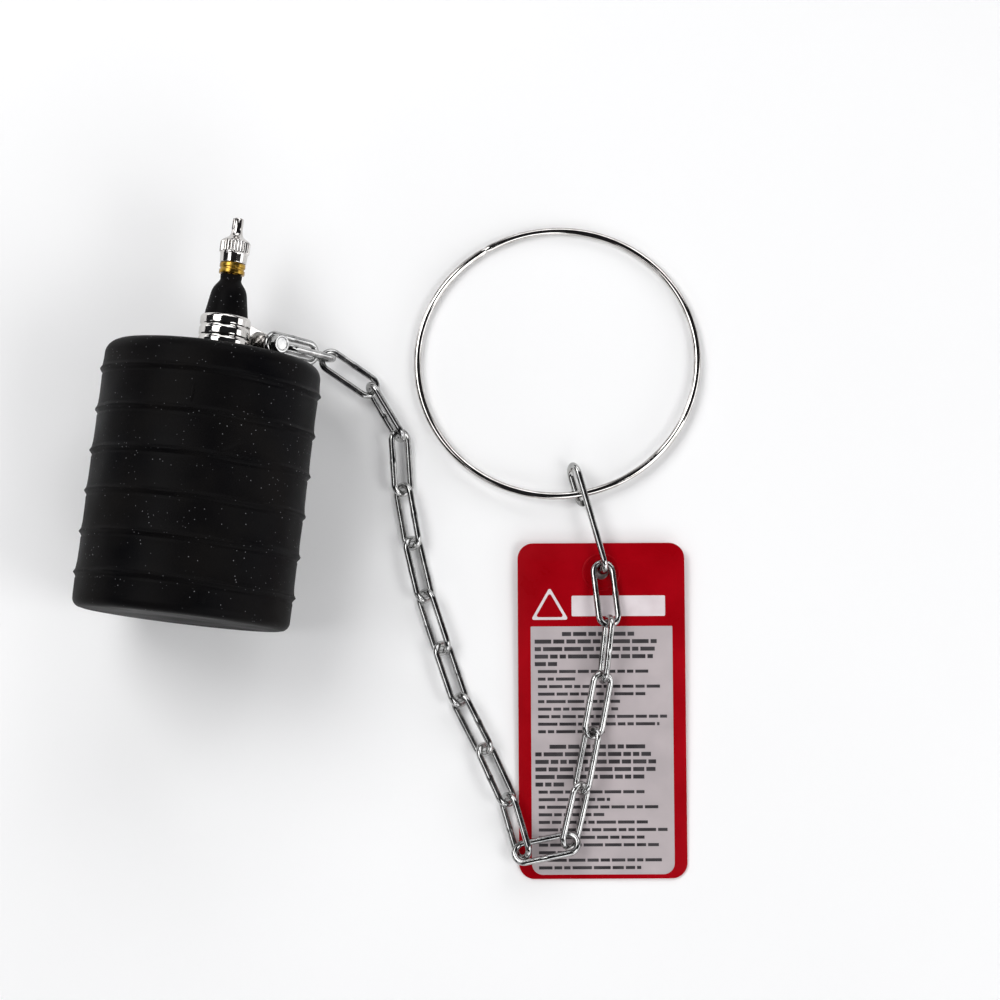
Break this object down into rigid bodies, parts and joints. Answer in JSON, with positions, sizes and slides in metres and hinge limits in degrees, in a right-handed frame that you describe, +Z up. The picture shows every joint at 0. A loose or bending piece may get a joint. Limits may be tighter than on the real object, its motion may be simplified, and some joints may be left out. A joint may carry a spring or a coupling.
{
  "type": "inflatable pipe plug",
  "caption": "Ribbed rubber cylinder with a tapered neck, a strap clamp and a capped tyre valve, on a long link chain that ends in a wire hook, a large ring and a flat tag with a hole.",
  "frame": {"origin": "middle of the flat spot under the rubber body, half way along the body, on the surface that the plug lies on", "axes": "+Y along the body's axis towards the valve cap, +Z up from the surface, +X to the side where the chain, the ring and the tag lie"},
  "size_m": [0.286, 0.3, 0.0969],
  "materials": {
    "body_rubber": "dull black moulded rubber, lightly dusty",
    "seal_rubber": "smooth black seal rubber",
    "valve_brass": "turned brass, slightly dull",
    "plated_steel": "bright plating with fine scratches",
    "zinc_steel": "zinc plated steel wire, satin",
    "tag_plastic": "red plastic sheet with printed plain fields"
  },
  "bodies": {
    "plug": {"rubber_body": "body_rubber", "valve_stem": "valve_brass", "core_body": "valve_brass", "core_spring": "zinc_steel", "clamp_strap": "plated_steel", "clamp_bolt": "zinc_steel", "clamp_nut_upper": "plated_steel", "clamp_nut_lower": "zinc_steel", "chain_link_01": "zinc_steel", "chain_link_02": "zinc_steel", "chain_link_03": "zinc_steel", "chain_link_04": "zinc_steel", "chain_link_05": "zinc_steel", "chain_link_06": "zinc_steel", "chain_link_07": "zinc_steel", "chain_link_08": "zinc_steel", "chain_link_09": "zinc_steel", "chain_link_10": "zinc_steel", "chain_link_11": "zinc_steel", "chain_link_12": "zinc_steel", "chain_link_13": "zinc_steel", "chain_link_14": "zinc_steel", "chain_link_15": "zinc_steel", "chain_link_16": "zinc_steel", "chain_link_17": "zinc_steel", "chain_link_18": "zinc_steel", "ring_hook": "zinc_steel"},
    "cap": {"valve_cap": "plated_steel", "cap_gasket": "seal_rubber"},
    "pin": {"core_pin": "valve_brass", "core_seal": "seal_rubber"},
    "ring": {"safety_ring": "plated_steel"},
    "tag": {"warning_tag": "tag_plastic"}
  },
  "joints": [
    {"name": "cap_off", "type": "slide", "parent": "plug", "child": "cap", "axis": [0, 1, 0], "range_m": [0, 0.03]},
    {"name": "pin_press", "type": "slide", "parent": "plug", "child": "pin", "axis": [0, -1, 0], "range_m": [0, 0.0015], "stiffness_N_per_m": 800, "springref_m": -0.001, "deforming": ["core_spring"]},
    {"name": "ring_swing", "type": "hinge", "parent": "plug", "child": "ring", "pos_m": [0.16921, 0.0209, 0.00494], "axis": [0.9617, 0.274, 0], "range_deg": [-20, 120]},
    {"name": "tag_turn", "type": "hinge", "parent": "plug", "child": "tag", "pos_m": [0.18309, -0.01366, 0.00335], "axis": [0.0028, -0.0235, 0.9997], "range_deg": [0, 45]}
  ]
}
